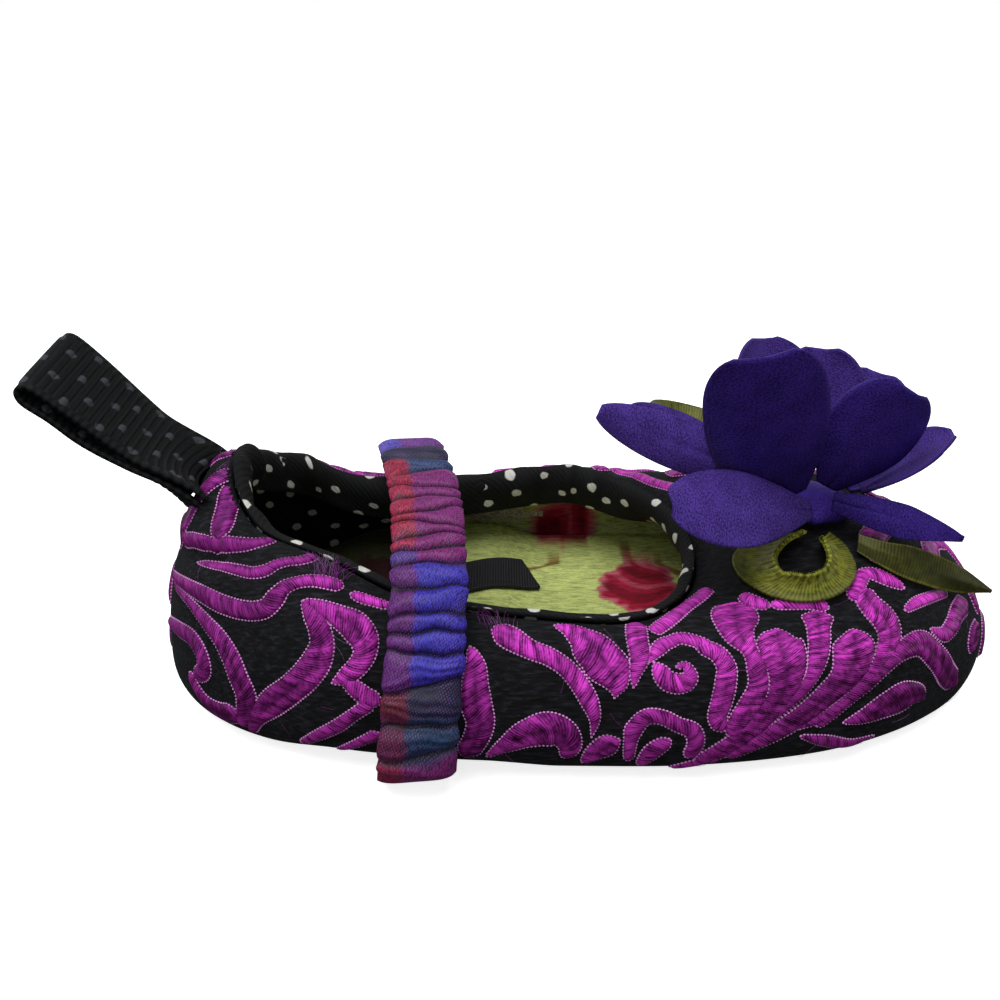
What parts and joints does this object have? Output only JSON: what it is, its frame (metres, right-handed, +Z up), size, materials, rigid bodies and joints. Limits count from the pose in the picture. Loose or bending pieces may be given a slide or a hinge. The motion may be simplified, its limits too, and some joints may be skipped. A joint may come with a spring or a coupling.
{
  "type": "crib shoe",
  "caption": "Soft turned infant shoe with a puffed brocade upper, padded sole, dotted collar facing, gathered elastic band, ribbon pull loop and a satin flower on ribbon loops.",
  "frame": {"origin": "on the floor plane under the forefoot, on the shoe's middle line", "axes": "+X from the heel to the toe, +Z up from the floor, +Y to the far side of the shoe"},
  "size_m": [0.1261, 0.0632, 0.0496],
  "materials": {
    "brocade": "black satin ground with raised magenta scroll brocade",
    "suede": "black brushed suede",
    "flannel": "brushed lime cotton with a rose print",
    "woven": "plain black woven tape",
    "cotton": "black cotton with small pale dots",
    "taffeta": "gathered shot taffeta in plaid bands",
    "grosgrain": "black ribbed ribbon with grey pin dots",
    "lime": "lime satin ribbon",
    "satin": "dark indigo satin"
  },
  "bodies": {
    "root": {"upper": "brocade", "outsole": "suede", "insole": "flannel", "insole_tab": "woven", "collar_facing": "cotton", "elastic_band": "taffeta", "pull_loop": "grosgrain", "flower_core": "satin", "petal_front": "satin", "petal_front_right": "satin", "petal_right": "satin", "petal_right_low": "satin", "petal_toe": "satin", "petal_near": "satin", "petal_left": "satin", "petal_left_far": "satin", "petal_back_left": "satin", "petal_back": "satin", "petal_back_right": "satin", "ribbon_loop_near": "lime", "ribbon_loop_far": "lime", "ribbon_leaf": "lime"}
  },
  "joints": []
}
